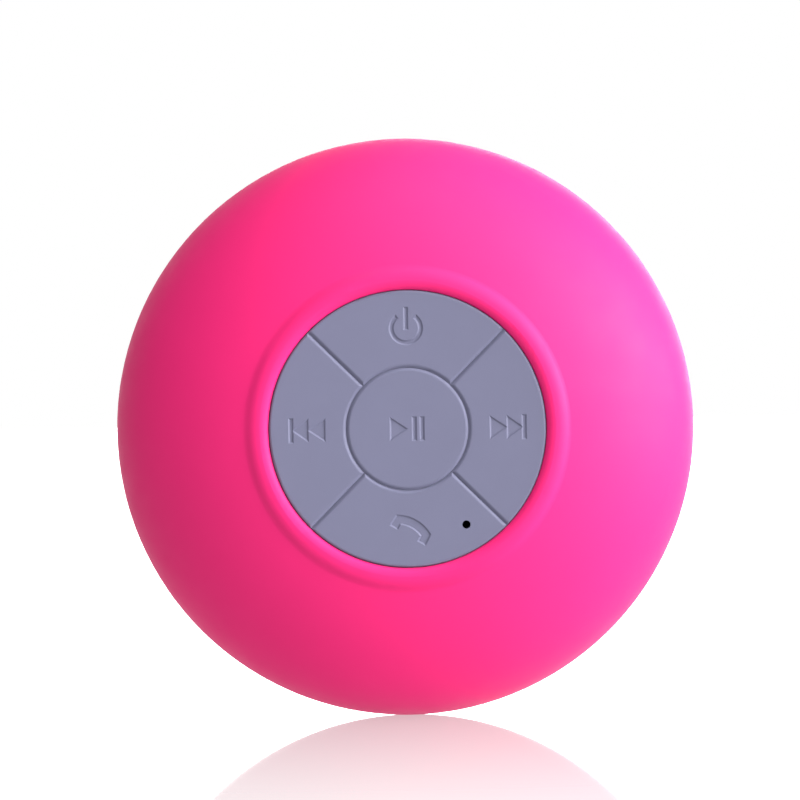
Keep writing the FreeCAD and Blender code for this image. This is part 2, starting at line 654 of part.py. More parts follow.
# ---- the back ----
def rear_housing():
    """The plastic back: flat grille, conical flank with the charging port, cup socket and screw sleeves."""
    step = rear_point(45, HOUSING_INSET)
    shoulder = (SHOULDER_R, SHOULDER_Z)
    rim = rear_point(rear_angle(PARTING, HOUSING_INSET), HOUSING_INSET)
    edge = 1.2
    round_over = (REAR_RADIUS - edge * 0.18, REAR_FACE + edge * 0.24)
    inner_flank = FLANK - 2.0 * math.sqrt(2)
    outline = Outline(0, REAR_FACE)
    outline.line(REAR_RADIUS - edge, REAR_FACE)
    outline.arc(round_over, (REAR_RADIUS + edge * 0.7071, REAR_FACE + edge * 0.7071))
    outline.line(*shoulder)
    outline.line(*step)
    outline.arc(rear_point((45 + rear_angle(PARTING, HOUSING_INSET)) / 2, HOUSING_INSET), rim)
    outline.line(TONGUE_R + TONGUE, PARTING).line(TONGUE_R + TONGUE, PARTING + 2).line(TONGUE_R, PARTING + 2)
    outline.line(TONGUE_R, TONGUE_R - inner_flank)
    outline.line(inner_flank + FLOOR_TOP, FLOOR_TOP).line(0, FLOOR_TOP)
    shell = outline.turned()
    sleeve = cylinder(SCREW_BOSS, FLOOR_TOP - 0.5, PARTING - 2)
    sleeves = at_angles(sleeve, HOUSING_SCREW_R, HOUSING_SCREW_ANGLES, 0)
    driver_boss = cylinder(2.2, FLOOR_TOP - 0.5, DRIVER_FLANGE - EASE)
    bosses = at_angles(driver_boss, DRIVER_SCREW_R, DRIVER_SCREW_ANGLES, 0)
    seat = tube(22.8, 19.6, FLOOR_TOP - 0.5, DRIVER_FLANGE - 0.8)
    block_outer = at_port(block((-8.6, 11.2), (-4.6, 4.6), (-4.8, 2)))
    port_block = block_outer.common(rear_filled()).cut(cylinder(60, 0, FLOOR_TOP - 0.5))
    rails = [at_port(block((s * 6.6 - 0.9, s * 6.6 + 0.9), (0.6, 3.4), (-12, -4.7))) for s in (-1, 1)]
    solid = fuse([shell, hub_outside(), seat, port_block] + sleeves + bosses + rails)
    cutters = [hub_inside()] + grille_slots() + screw_pockets() + port_cutters()
    cutters += at_angles(cylinder(0.65, FLOOR_TOP - 0.6, 30), DRIVER_SCREW_R, DRIVER_SCREW_ANGLES, 0)
    return solid.cut(cutters)


def rear_filled():
    """The whole space inside the rear housing's outer surface."""
    outline = Outline(0, REAR_FACE).line(REAR_RADIUS, REAR_FACE).line(SHOULDER_R, SHOULDER_Z)
    outline.line(*rear_point(45, HOUSING_INSET))
    rim_angle = rear_angle(PARTING, HOUSING_INSET)
    outline.arc(rear_point((45 + rim_angle) / 2, HOUSING_INSET), rear_point(rim_angle, HOUSING_INSET))
    return outline.line(TONGUE_R, PARTING).line(TONGUE_R, PARTING + 3).line(0, PARTING + 3).turned()


def hub_outside():
    """The boss that stands out of the back, and the closed well behind it."""
    boss = cylinder(9.0, HUB_MOUTH, REAR_FACE + 0.5)
    mouth_rim = [e for e in boss.Edges if is_low_rim(e, HUB_MOUTH)]
    return boss.makeFillet(0.8, mouth_rim).fuse(cylinder(8.2, REAR_FACE, SOCKET_TOP + 1.5))


def hub_inside():
    """The blind socket, wider behind its lip, that the suction cup's head turns in."""
    mouth = CUP_NECK_R + 0.1
    neck = cylinder(mouth, HUB_MOUTH - 1, HUB_MOUTH + HUB_LIP + 0.1)
    lead = Part.makeCone(mouth + 0.8, mouth, 0.8, V(0, 0, HUB_MOUTH))
    return fuse([neck, lead, cylinder(SOCKET_R, HUB_MOUTH + HUB_LIP, SOCKET_TOP)])


def grille_slots():
    """The ring of radial slots that the sound comes out of."""
    one = slot(GRILLE_INNER, GRILLE_OUTER, GRILLE_SLOT / 2, REAR_FACE - 1, FLOOR_TOP + 0.5)
    return around(one, [k * 360 / GRILLE_SLOTS for k in range(GRILLE_SLOTS)])


def screw_pockets():
    """The counterbores and clearance holes for the four housing screws."""
    well = cylinder(2.2, REAR_FACE - 1, REAR_FACE + 1.9 + EASE).fuse(cylinder(0.9, REAR_FACE, PARTING + 2))
    return at_angles(well, HOUSING_SCREW_R, HOUSING_SCREW_ANGLES, 0)


def port_cutters():
    """The port cover's recess, the pocket and hole for the charging socket, and the board's rail slots."""
    recess = slot(-6.85, 5.45, 3.35, -PORT_DEPTH, 3)
    channel = block((3, 9.7), (-1.95, 1.95), (-PORT_DEPTH, 3))
    pocket = slot(-4.75, 4.75, 2.3, -2.55, 0)
    socket_hole = block((-3.85, 3.85), (-1.55, 1.55), (-6, 0))
    anchor_hole = cylinder(0.9, -3.4, 0, (8.4, 0))
    finger_notch = Part.makeSphere(4.2, V(-8.6, 0, 3.0))
    rail_slots = block((-6.3, 6.3), (1.45, 2.4), (-13, -4.85))
    cutters = [recess, channel, pocket, socket_hole, anchor_hole, finger_notch, rail_slots]
    return [at_port(cutter) for cutter in cutters]


def housing_seal():
    """The rubber ring between the two housings."""
    ring = Part.makeTorus(SEAL_R, 0.53)
    ring.translate(V(0, 0, PARTING + 0.56))
    return ring


def grille_mesh():
    """The fine dark mesh behind the slots."""
    return tube(19.3, 8.4, FLOOR_TOP + 0.03, FLOOR_TOP + 0.25)


# ---- the charging port ----
def port_cover():
    """The soft flap over the charging port: a lid with a sealing boss, a grip, and a round-ended neck."""
    lid = slot(-6.6, 5.2, 3.1, -PORT_DEPTH + EASE, 3)
    neck = block((3, COVER_HINGE_X - 0.6), (-1.7, 1.7), (-PORT_DEPTH + EASE, 3))
    web_z = (COVER_HINGE_Z - 0.25, COVER_HINGE_Z + 0.25)
    web = block((COVER_HINGE_X - 0.7, COVER_HINGE_X), (-1.7, 1.7), web_z)
    sealing = slot(-4.4, 4.4, 1.95, -2.35, -PORT_DEPTH + 0.2)
    skin = flank_solid().Solids[0]
    top = at_port(fuse([lid, neck])).common(skin)
    grip = at_port(slot(-6.5, -4.9, 0.75, -0.9, 0.55))
    return fuse([top, at_port(fuse([web, hinge_rod(KNUCKLE)])), at_port(sealing), grip])


def hinge_rod(radius):
    """A round bar on the port cover's hinge line, in the port's frame."""
    return Part.makeCylinder(radius, 3.4, V(COVER_HINGE_X, -1.7, COVER_HINGE_Z), V(0, 1, 0))


def port_cover_anchor():
    """The fixed end of the flap's strap, hollowed round the flap's knuckle and pegged into the housing."""
    tail = block((COVER_HINGE_X + 0.45, 9.5), (-1.7, 1.7), (-PORT_DEPTH + EASE, 3))
    toe_z = (-PORT_DEPTH + EASE, COVER_HINGE_Z)
    toe = block((COVER_HINGE_X + 0.25, COVER_HINGE_X + 0.6), (-1.7, 1.7), toe_z)
    peg = cylinder(0.85, -3.3, -PORT_DEPTH + 0.2, (8.4, 0))
    strap = fuse([at_port(tail).common(flank_solid()), at_port(toe), at_port(peg)])
    return strap.cut(at_port(hinge_rod(KNUCKLE + 0.06)))


def usb_shell():
    """The folded metal shell of the small charging socket."""
    outer = block((-3.7, 3.7), (-1.4, 1.4), (-8.0, -2.6))
    mouth = block((-3.45, 3.45), (-1.15, 1.15), (-7.6, 0))
    return at_port(outer.cut(mouth))


def usb_tongue():
    """The plastic tongue with its contacts, inside the socket's shell."""
    return at_port(block((-2.6, 2.6), (0.1, 0.7), (-7.55, -3.6)))


def charge_board():
    """The small board that carries the charging socket, held in rails."""
    return at_port(block((-6.2, 6.2), (1.5, 2.3), (-13.5, -4.9)))


# ---- the driver ----
def speaker_frame():
    """The pressed steel frame: flange with three ears, windowed basket, and a ring that holds the motor."""
    flange_top = DRIVER_FLANGE + 1.0
    outline = Outline(DRIVER_FLANGE_R, DRIVER_FLANGE).line(DRIVER_FLANGE_R, flange_top)
    outline.line(18.6, flange_top).line(14.6, 25.5).line(14.6, TOP_PLATE)
    outline.line(11.0, TOP_PLATE).line(11.0, TOP_PLATE - 0.8).line(13.8, TOP_PLATE - 0.8)
    outline.line(13.8, 25.2).line(17.6, flange_top - 0.4).line(17.6, DRIVER_FLANGE)
    basket = outline.turned()
    windows = []
    for k in range(4):
        window = block((8, 30), (-4.5, 4.5), (flange_top + 0.8, TOP_PLATE - 2.0))
        windows.append(place(window, 45 + 90 * k))
    ear = cylinder(2.3, DRIVER_FLANGE, flange_top, (DRIVER_SCREW_R, 0))
    bridge = block((DRIVER_FLANGE_R - 2, DRIVER_SCREW_R), (-2.3, 2.3), (DRIVER_FLANGE, flange_top))
    ears = around(ear.fuse(bridge), DRIVER_SCREW_ANGLES)
    holes = at_angles(cylinder(0.8, 10, 30), DRIVER_SCREW_R, DRIVER_SCREW_ANGLES, 0)
    inner = cylinder(17.6, DRIVER_FLANGE - 1, flange_top + 0.2)
    return fuse([basket.cut(windows)] + [e.cut(inner) for e in ears]).cut(holes)


def speaker_surround():
    """The half-roll of rubber that joins the cone to the frame."""
    z = DRIVER_FLANGE + 0.35
    outline = Outline(17.55, z).line(17.55, z - 0.3).line(17.0, z - 0.3)
    outline.arc((15.6, z - 1.7), (14.2, z - 0.3)).line(13.6, z - 0.3).line(13.6, z).line(14.45, z)
    return outline.arc((15.6, z - 1.35), (16.75, z)).turned()


def speaker_cone():
    """The cone, from the surround down to the voice coil's former."""
    z = DRIVER_FLANGE + 0.4
    outline = Outline(13.9, z).line(13.9, z + 0.35).line(13.2, z + 0.35).line(6.9, z + 6.3)
    return outline.line(COIL_R + EASE, z + 6.3).line(COIL_R + EASE, z + 6.0).line(13.0, z).turned()


def bowl_z(r, rim_r, rise):
    """How far a shallow bowl has risen at radius r, where it rises that much over its rim's radius."""
    ball = (rim_r * rim_r + rise * rise) / (2 * rise)
    return ball - math.sqrt(ball * ball - r * r)


def dust_cap():
    """The small dome over the voice coil, facing the grille."""
    crown_z, rim_r, rise, wall = DRIVER_FLANGE + 3.0, 7.9, 1.7, 0.3
    middle = (rim_r / 2, crown_z + bowl_z(rim_r / 2, rim_r, rise))
    outline = Outline(0, crown_z).arc(middle, (rim_r, crown_z + rise)).line(rim_r, crown_z + rise + wall)
    return outline.arc((middle[0], middle[1] + wall), (0, crown_z + wall)).turned()


def voice_coil():
    """The former and its winding, in the motor's gap."""
    former = tube(COIL_R, COIL_R - 0.15, DRIVER_FLANGE + 5.6, 33.4)
    winding = tube(COIL_R + 0.35, COIL_R, 29.4, 33.2)
    return former.fuse(winding).removeSplitter()


def speaker_spider():
    """The corrugated cloth disc that centres the coil."""
    z, wall, count = 27.2, 0.2, 4
    inner, outer = COIL_R + 0.1, 13.7
    pitch = (outer - inner) / count
    upper, lower = Outline(inner, z + wall), []
    for k in range(count):
        r, sign = inner + k * pitch, (1 if k % 2 else -1)
        upper.arc((r + pitch / 2, z + wall + 0.4 * sign), (r + pitch, z + wall))
        lower.append(((r + pitch / 2, z + 0.4 * sign), (r, z)))
    upper.line(outer, z)
    for middle, point in reversed(lower):
        upper.arc(middle, point)
    return upper.turned()


def top_plate():
    """The washer that closes the magnet's circuit at the gap."""
    return tube(14.0, COIL_R + 0.7, TOP_PLATE + EASE, MAGNET - EASE)


def magnet():
    """The ring magnet."""
    return tube(15.0, 8.0, MAGNET, BACK_PLATE)


def yoke():
    """The back plate and its pole piece, which reaches through the magnet to the gap."""
    plate = cylinder(14.0, BACK_PLATE + EASE, MOTOR_TOP)
    pole = cylinder(COIL_R - 0.55, TOP_PLATE - 0.2, BACK_PLATE + 0.5)
    return plate.fuse(pole).removeSplitter()


def speaker_terminals():
    """The tag strip on the frame where the driver's wires are soldered."""
    return place(block((14.6 + EASE, 16.2), (-3.0, 3.0), (TOP_PLATE - 2.8, TOP_PLATE + 0.6)), TAG_ANGLE)


def speaker_gasket():
    """The foam ring under the driver's flange."""
    return tube(21.9, 19.8, DRIVER_FLANGE - 0.8 + EASE, DRIVER_FLANGE - EASE)


# ---- the battery ----
def battery_cell():
    """The pouch cell, standing on edge beside the driver."""
    body = block((CELL_X, CELL_X + CELL), (-16.5, 16.5), (CELL_BOTTOM, CELL_TOP))
    upright = [e for e in body.Edges if abs(e.tangentAt(e.FirstParameter).z) > 0.99]
    return body.makeFillet(1.6, upright)


def battery_pad():
    """The foam pad between the cell and the cradle's wall."""
    return block((CELL_X - 1.0, CELL_X - EASE), (-10, 10), (CELL_BOTTOM + 3, 36))


def battery_cradle():
    """The bracket that holds the cell: a wall, a shelf with a lip, and two feet on the housing's floor."""
    wall_x, front_x = CELL_X - 2.0, CELL_X + CELL + EASE
    wall = block((wall_x, CELL_X - 1.05), (-12, 12), (FLOOR_TOP + EASE, 38))
    shelf = block((wall_x, front_x + 0.8), (-12, 12), (CELL_BOTTOM - 1.4, CELL_BOTTOM - EASE))
    lip = block((front_x, front_x + 0.8), (-12, 12), (CELL_BOTTOM - 1.0, CELL_BOTTOM + 4))
    foot_z = (FLOOR_TOP + EASE, CELL_BOTTOM - 1)
    feet = [block((wall_x, CELL_X + 1.2), (y - 1, y + 1), foot_z) for y in (-10, 10)]
    return fuse([wall, shelf, lip] + feet)


# ---- wires ----
def wire_pair(points, spacing, radius=0.5):
    """Two wires side by side along the same route."""
    pair = []
    for side in (-0.5, 0.5):
        shift = V(*spacing) * side
        pair.append(smooth_tube([tuple(V(*p) + shift) for p in points], radius))
    return pair


def charge_wires():
    """From the charging board up to the main board."""
    s = math.sqrt(0.5)
    start = V(-PORT_R, 0, PORT_Z) + V(-s, 0, -s) * -13.2 + V(s, 0, -s) * 0.9
    return wire_pair([tuple(start), (-22.5, 0, 35.0), (-22.5, 0, BOARD_BOTTOM - 1.95)], (0, 1.6, 0))


def speaker_wires():
    """From the driver's tag strip up to the main board."""
    tag = polar(15.6, TAG_ANGLE, TOP_PLATE + 0.9)
    end = (-2.5, 20.5, BOARD_BOTTOM - 1.95)
    return wire_pair([tuple(tag), (-2.5, 20.5, 36.5), end], (1.7, 0, 0))


def battery_wires():
    """From the cell's top edge over to the main board."""
    level = BOARD_BOTTOM - 0.95
    return wire_pair([(26.6, 0, CELL_TOP + EASE), (26.6, 0, level), (20.85, 0, level)], (0, 1.6, 0), 0.4)


# ---- the suction cup ----
def suction_cup():
    """The soft cup that holds the wall, with the mushroom head that the speaker turns on and a tab."""
    head_low, head_top = HUB_MOUTH + HUB_LIP + 0.2, SOCKET_TOP - 0.4
    outline = Outline(0, CUP_DEPTH)
    middle = (CUP_SEAT_R / 2, CUP_DEPTH - bowl_z(CUP_SEAT_R / 2, CUP_SEAT_R, CUP_DEPTH))
    outline.arc(middle, (CUP_SEAT_R, 0)).line(CUP_RADIUS - 0.2, 0)
    outline.arc((CUP_RADIUS, 0.3), (CUP_RADIUS - 0.1, 0.65))
    outline.arc((22.5, 5.9), (8.6, 8.9)).arc((5.6, 9.9), (CUP_NECK_R, 12.0))
    outline.line(CUP_NECK_R, head_low).line(CUP_HEAD_R - 0.3, head_low)
    outline.arc((CUP_HEAD_R, head_low + 0.5), (CUP_HEAD_R, head_low + 1.0))
    outline.arc((CUP_HEAD_R - 0.75, head_top - 0.75), (3.6, head_top)).line(0, head_top)
    cup = outline.turned()
    tab = place(slot(29.5, 40.5, 4.4, 0.35, 1.45), 90)
    ribs = [place(slot(-3.2, 3.2, 0.3, 1.2, 1.85), 0, (0, y, 0)) for y in (36.2, 37.6, 39.0)]
    hollow = Outline(0, CUP_DEPTH).arc(middle, (CUP_SEAT_R, 0)).line(0, 0).turned()
    return fuse([cup, tab.cut(hollow)] + ribs)


# ---- saving ----
def save(name, shapes):
    """Writes one node in the row frame, as one solid or as a group of separate ones."""
    shapes = shapes if isinstance(shapes, list) else [shapes]
    solids = [solid for shape in shapes for solid in shape.Solids]
    whole = Part.makeCompound(solids) if len(solids) > 1 else solids[0]
    whole = whole.copy()
    whole.rotate(V(0, 0, 0), V(1, 0, 0), 90)
    bad = [s for s in whole.Solids if not s.isValid() or s.Volume <= 0]
    whole.exportStep(os.path.join("parts", name + ".step"))
    saved.append(name)
    size = whole.BoundBox
    note = "  INVALID" if bad else ""
    print(f"{name:20s} {len(solids)} solids  {whole.Volume:9.1f} mm3"
          f"  {size.XLength:5.1f} x {size.YLength:5.1f} x {size.ZLength:5.1f}{note}")


def main():
    os.makedirs("parts", exist_ok=True)
    for name, key in keys().items():
        save("key_" + name, key)
    for name, at in KEYS.items():
        save("plunger_" + name, switch_plunger(at))
    makers = [
        suction_cup, silicone_jacket, front_housing, rear_housing, housing_seal, housing_screws,
        grille_mesh, port_cover, port_cover_anchor, usb_shell, usb_tongue, charge_board,
        keypad_membrane, keypad_support, main_board, switch_bodies, board_screws, radio_module, chips,
        capacitors, crystal, mic_capsule, mic_boot, status_led, sockets, speaker_frame, speaker_surround,
        speaker_cone, dust_cap, voice_coil, speaker_spider, top_plate, magnet, yoke, speaker_terminals,
        speaker_gasket, driver_screws, battery_cell, battery_pad, battery_cradle, charge_wires,
        speaker_wires, battery_wires,
    ]
    for maker in makers:
        save(maker.__name__, maker())
    print(len(saved), "nodes")


main()
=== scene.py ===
"""The looks of the shower speaker: its materials, the light it stands in, and the camera."""

import json
import math

import bpy
from mathutils import Euler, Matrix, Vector

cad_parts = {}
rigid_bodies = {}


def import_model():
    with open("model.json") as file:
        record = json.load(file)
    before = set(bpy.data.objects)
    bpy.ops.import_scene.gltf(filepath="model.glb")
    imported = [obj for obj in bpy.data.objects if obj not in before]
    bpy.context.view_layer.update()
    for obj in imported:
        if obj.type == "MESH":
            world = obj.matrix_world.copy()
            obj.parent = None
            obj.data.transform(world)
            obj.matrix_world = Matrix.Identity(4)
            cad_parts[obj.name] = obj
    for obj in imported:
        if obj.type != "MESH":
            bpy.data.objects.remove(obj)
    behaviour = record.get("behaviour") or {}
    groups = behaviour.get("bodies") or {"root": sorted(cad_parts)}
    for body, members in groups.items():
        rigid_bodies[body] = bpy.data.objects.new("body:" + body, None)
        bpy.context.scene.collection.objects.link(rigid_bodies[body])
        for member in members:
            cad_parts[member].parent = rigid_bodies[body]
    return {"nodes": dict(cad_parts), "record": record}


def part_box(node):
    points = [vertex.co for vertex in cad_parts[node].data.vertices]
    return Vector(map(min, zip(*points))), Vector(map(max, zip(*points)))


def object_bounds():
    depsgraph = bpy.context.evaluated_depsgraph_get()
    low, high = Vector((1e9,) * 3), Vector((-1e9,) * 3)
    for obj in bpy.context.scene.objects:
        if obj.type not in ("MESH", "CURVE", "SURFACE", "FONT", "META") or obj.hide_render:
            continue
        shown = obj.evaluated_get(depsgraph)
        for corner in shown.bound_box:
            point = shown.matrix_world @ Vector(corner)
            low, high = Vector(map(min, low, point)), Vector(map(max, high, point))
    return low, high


for leftover in list(bpy.data.objects):
    bpy.data.objects.remove(leftover)

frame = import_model()
cad_low, cad_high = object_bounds()

MM = 0.001
COIL_WIRE = 0.16 * MM
MIC_FELT = 0.6 * MM         # how far back from the microphone's face its felt reaches

# ---- materials ----


class Shading:
    """A material with one Principled shader, and short calls for the nodes that feed it."""

    def __init__(self, name):
        self.material = bpy.data.materials.new(name)
        self.material.use_nodes = True
        self.tree = self.material.node_tree
        self.shader = self.tree.nodes["Principled BSDF"]
        self.place = self.node("ShaderNodeTexCoord").outputs["Object"]

    def node(self, kind, **settings):
        made = self.tree.nodes.new(kind)
        for key, value in settings.items():
            setattr(made, key, value)
        return made

    def link(self, source, target):
        self.tree.links.new(source, target)

    def fixed(self, **values):
        """Sets shader sockets that are the same all over the surface."""
        for key, value in values.items():
            self.shader.inputs[key.replace("_", " ")].default_value = value

    def noise(self, size, detail=3.0, rough=0.55, stretch=None):
        """A noise pattern whose lumps are about that many metres across, from 0 to 1."""
        made = self.node("ShaderNodeTexNoise")
        made.inputs["Scale"].default_value = 1.0 / size
        made.inputs["Detail"].default_value = detail
        made.inputs["Roughness"].default_value = rough
        self.link(self.stretched(stretch) if stretch else self.place, made.inputs["Vector"])
        return made.outputs["Fac"]

    def stretched(self, stretch):
        """The place on the object, scaled along each axis."""
        mapping = self.node("ShaderNodeMapping")
        mapping.inputs["Scale"].default_value = stretch
        self.link(self.place, mapping.inputs["Vector"])
        return mapping.outputs["Vector"]

    def coordinate(self, axis):
        """One coordinate of the place on the object, in metres."""
        parts = self.node("ShaderNodeSeparateXYZ")
        self.link(self.place, parts.inputs["Vector"])
        return parts.outputs[axis]

    def maths(self, operation, first, second=None):
        made = self.node("ShaderNodeMath", operation=operation)
        for socket, value in zip(made.inputs, (first, second)):
            if isinstance(value, (int, float)):
                socket.default_value = value
            elif value is not None:
                self.link(value, socket)
        return made.outputs[0]

    def spread(self, factor, low, high, source=(0.3, 0.7)):
        """The factor's usual range, carried to low and high."""
        made = self.node("ShaderNodeMapRange")
        self.link(factor, made.inputs["Value"])
        made.inputs["From Min"].default_value, made.inputs["From Max"].default_value = source
        made.inputs["To Min"].default_value, made.inputs["To Max"].default_value = low, high
        return made.outputs["Result"]

    def blended(self, factor, first, second):
        """A colour between two colours, or between a colour and another blend."""
        made = self.node("ShaderNodeMix", data_type="RGBA")
        self.link(factor, made.inputs["Factor"])
        for socket, colour in ((made.inputs[6], first), (made.inputs[7], second)):
            if isinstance(colour, tuple):
                socket.default_value = (*colour, 1.0)
            else:
                self.link(colour, socket)
        return made.outputs[2]

    def colour(self, source):
        self.link(source, self.shader.inputs["Base Color"])

    def roughness(self, source):
        self.link(source, self.shader.inputs["Roughness"])

    def bump(self, *layers):
        """Stacks (height, depth in metres) layers into the shader's normal."""
        below = None
        for height, depth in layers:
            made = self.node("ShaderNodeBump")
            made.inputs["Distance"].default_value = depth
            self.link(height, made.inputs["Height"])
            if below is not None:
                self.link(below, made.inputs["Normal"])
            below = made.outputs["Normal"]
        self.link(below, self.shader.inputs["Normal"])


def shade(colour, amount):
    """The colour made lighter (over 1) or darker (under 1)."""
    return tuple(min(1.0, c * amount) for c in colour)


def moulded(name, colour, patch, mottle, rough, grain, depth, fine=None, **fixed):
    """Moulded plastic or rubber: faint cloudy colour, uneven gloss, and a skin texture. Sizes are in mm."""
    look = Shading(name)
    cloud = look.noise(patch * MM)
    look.colour(look.blended(cloud, shade(colour, 1 - mottle), shade(colour, 1 + mottle)))
    look.roughness(look.spread(look.noise(patch * 0.3 * MM), *rough))
    layers = [(look.noise(grain * MM, detail=4.0, rough=0.7), depth * MM)]
    if fine:
        layers.append((look.noise(fine[0] * MM), fine[1] * MM))
    look.bump(*layers)
    look.fixed(**fixed)
    return look.material


def metal(name, colour, rough, stretch=(1, 1, 1), grain=0.25, depth=0.004):
    """Bare or plated metal with fine drawn scratches. Grain and depth are in mm."""
    look = Shading(name)
    cloud = look.noise(2.5 * MM)
    look.colour(look.blended(cloud, shade(colour, 0.9), shade(colour, 1.06)))
    scratches = look.noise(grain * MM, detail=5.0, rough=0.7, stretch=stretch)
    look.roughness(look.spread(scratches, *rough))
    look.bump((scratches, depth * MM))
    look.fixed(Metallic=1.0)
    return look.material


def capped_metal(name, level):
    """A small metal can that is covered with black dust felt forward of that level along Y."""
    look = Shading(name)
    front = look.maths("LESS_THAN", look.coordinate("Y"), level)
    look.colour(look.blended(front, (0.62, 0.62, 0.62), (0.004, 0.004, 0.004)))
    fuzz = look.noise(0.15 * MM, detail=4.0)
    look.roughness(look.maths("MAXIMUM", look.maths("MULTIPLY", front, 0.95), look.spread(fuzz, 0.22, 0.34)))
    look.link(look.maths("SUBTRACT", 1.0, front), look.shader.inputs["Metallic"])
    look.bump((fuzz, 0.006 * MM))
    return look.material


def woven(name, colour, pitch, depth, painted_gap_shade, rough):
    """Plain-woven cloth or mesh, across the face that looks along Y. Pitch and depth are in mm. Its colour
    carries painted shade in the gaps between threads and a painted highlight on the thread crowns.
    """
    look = Shading(name)
    waves = []
    for axis in ("X", "Z"):
        turn = look.maths("MULTIPLY", look.coordinate(axis), math.pi / (pitch * MM))
        waves.append(look.maths("ABSOLUTE", look.maths("SINE", turn)))
    thread = look.maths("MAXIMUM", *waves)
    fuzz = look.noise(pitch * 0.4 * MM, detail=4.0)
    height = look.maths("ADD", thread, look.maths("MULTIPLY", fuzz, 0.25))
    # painted shade and highlight: the colour is darker in the gaps between threads and lighter on the thread
    # crowns
    gap_shade_colour, light = shade(colour, painted_gap_shade), shade(colour, 1.15)
    look.colour(look.blended(look.spread(thread, 0.0, 1.0, (0.55, 1.0)), gap_shade_colour, light))
    look.roughness(look.spread(fuzz, rough - 0.06, rough + 0.06))
    look.bump((height, depth * MM))
    return look.material


def circuit_board():
    """Green solder mask, paler and raised along the copper tracks beneath it."""
    look = Shading("circuit_board")
    tracks = look.node("ShaderNodeTexBrick", offset=0.37, squash=0.6)
    tracks.inputs["Scale"].default_value = 1 / (4 * MM)
    tracks.inputs["Mortar Size"].default_value = 0.05
    tracks.inputs["Mortar Smooth"].default_value = 0.1
    turned = look.node("ShaderNodeMapping")
    turned.inputs["Rotation"].default_value = (math.radians(90), 0, 0)
    look.link(look.place, turned.inputs["Vector"])
    look.link(turned.outputs["Vector"], tracks.inputs["Vector"])
    mask = look.blended(look.noise(6 * MM), (0.008, 0.085, 0.035), (0.012, 0.12, 0.05))
    look.colour(look.blended(tracks.outputs["Fac"], mask, (0.02, 0.19, 0.08)))
    look.roughness(look.spread(look.noise(1.5 * MM), 0.22, 0.34))
    look.bump((tracks.outputs["Fac"], 0.03 * MM), (look.noise(0.3 * MM), 0.004 * MM))
    return look.material


def two_wires(name, axis, middle, first, second):
    """Insulation for a pair of wires that lie on either side of a middle plane."""
    look = Shading(name)
    side = look.maths("GREATER_THAN", look.coordinate(axis), middle)
    cloud = look.noise(3 * MM)
    tint = look.blended(side, first, second)
    look.colour(look.blended(look.spread(cloud, 0.0, 0.25), tint, (0.9, 0.9, 0.9)))
    look.roughness(look.spread(look.noise(1.2 * MM), 0.32, 0.45))
    look.bump((look.noise(0.5 * MM), 0.01 * MM))
    return look.material


def wound_copper():
    """Enamelled wire wound round the former, turn beside turn along the axis, with painted shade in the
    grooves between turns.
    """
    look = Shading("coil_copper")
    turn = look.maths("MULTIPLY", look.coordinate("Y"), math.pi / COIL_WIRE)
    ridge = look.maths("ABSOLUTE", look.maths("SINE", turn))
    # painted shade: the copper is coloured dark in the grooves between turns and bright on their crowns
    look.colour(look.blended(ridge, (0.22, 0.07, 0.02), (0.72, 0.28, 0.10)))
    look.roughness(look.spread(look.noise(0.8 * MM), 0.25, 0.4))
    look.bump((ridge, 0.05 * MM))
    look.fixed(Metallic=0.9)
    return look.material


PINK = (0.90, 0.023, 0.194)
GREY_RUBBER = (0.154, 0.155, 0.239)
GREY_PLASTIC = (0.15, 0.15, 0.215)

